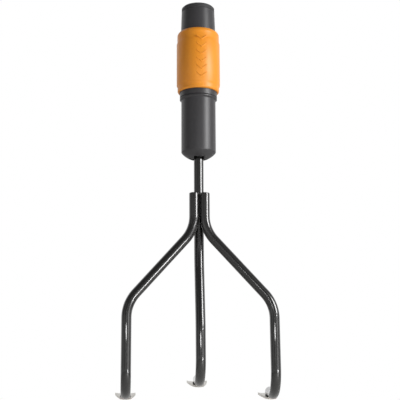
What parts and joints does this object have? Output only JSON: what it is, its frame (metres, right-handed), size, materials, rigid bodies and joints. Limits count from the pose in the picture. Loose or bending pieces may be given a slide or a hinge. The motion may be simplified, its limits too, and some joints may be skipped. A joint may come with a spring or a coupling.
{
  "type": "hand cultivator",
  "caption": "Quick-release garden cultivator head: a sprung sleeve on a handle socket, and bent steel tines ending in pointed blades.",
  "frame": {"origin": "on the socket bore's axis, where the bore's wall starts just inside the rim of the mouth", "axes": "+Z out of the mouth towards the handle, -Y the side the tines bow towards, +Y where the blades point, +X to the right seen from -Y"},
  "size_m": [0.1656, 0.0883, 0.4086],
  "materials": {
    "housing_plastic": "moulded nylon with a fine spark-eroded grain",
    "bumper_rubber": "moulded soft elastomer",
    "sleeve_plastic": "moulded orange plastic, satin",
    "ball_steel": "polished hardened steel",
    "spring_steel": "oiled drawn wire",
    "zinc_steel": "zinc plated",
    "tine_paint": "gloss black powder coat",
    "weld_paint": "weld bead under the black coat",
    "blade_steel": "bare ground steel"
  },
  "bodies": {
    "head": {"socket_body": "housing_plastic", "bumper_ring": "bumper_rubber", "return_spring": "spring_steel", "spring_seat": "zinc_steel", "retaining_clip": "spring_steel", "drive_pin": "ball_steel", "stop_ring": "housing_plastic", "lower_housing": "housing_plastic", "clamp_screw": "zinc_steel", "screw_washer": "zinc_steel", "cross_key": "zinc_steel", "centre_tine": "tine_paint", "left_tine": "tine_paint", "right_tine": "tine_paint", "cluster_welds": "weld_paint", "left_blade": "blade_steel", "centre_blade": "blade_steel", "right_blade": "blade_steel", "left_blade_weld": "weld_paint", "centre_blade_weld": "weld_paint", "right_blade_weld": "weld_paint"},
    "sleeve": {"release_sleeve": "sleeve_plastic"},
    "ball_back": {"locking_ball_back": "ball_steel"},
    "ball_left": {"locking_ball_left": "ball_steel"},
    "ball_right": {"locking_ball_right": "ball_steel"}
  },
  "joints": [
    {"name": "sleeve_slide", "type": "slide", "parent": "head", "child": "sleeve", "axis": [0, 0, -1], "range_m": [0, 0.008], "stiffness_N_per_m": 1200, "springref_m": -0.008, "deforming": ["return_spring"]},
    {"name": "ball_back_slide", "type": "slide", "parent": "head", "child": "ball_back", "axis": [0, 1, 0], "range_m": [0, 0.0016]},
    {"name": "ball_left_slide", "type": "slide", "parent": "head", "child": "ball_left", "axis": [-0.866, -0.5, 0], "range_m": [0, 0.0016]},
    {"name": "ball_right_slide", "type": "slide", "parent": "head", "child": "ball_right", "axis": [0.866, -0.5, 0], "range_m": [0, 0.0016]}
  ],
  "couplings": [
    {"joint": "ball_back_slide", "follows": "sleeve_slide", "ratio": 0.19375},
    {"joint": "ball_left_slide", "follows": "sleeve_slide", "ratio": 0.19375},
    {"joint": "ball_right_slide", "follows": "sleeve_slide", "ratio": 0.19375}
  ]
}
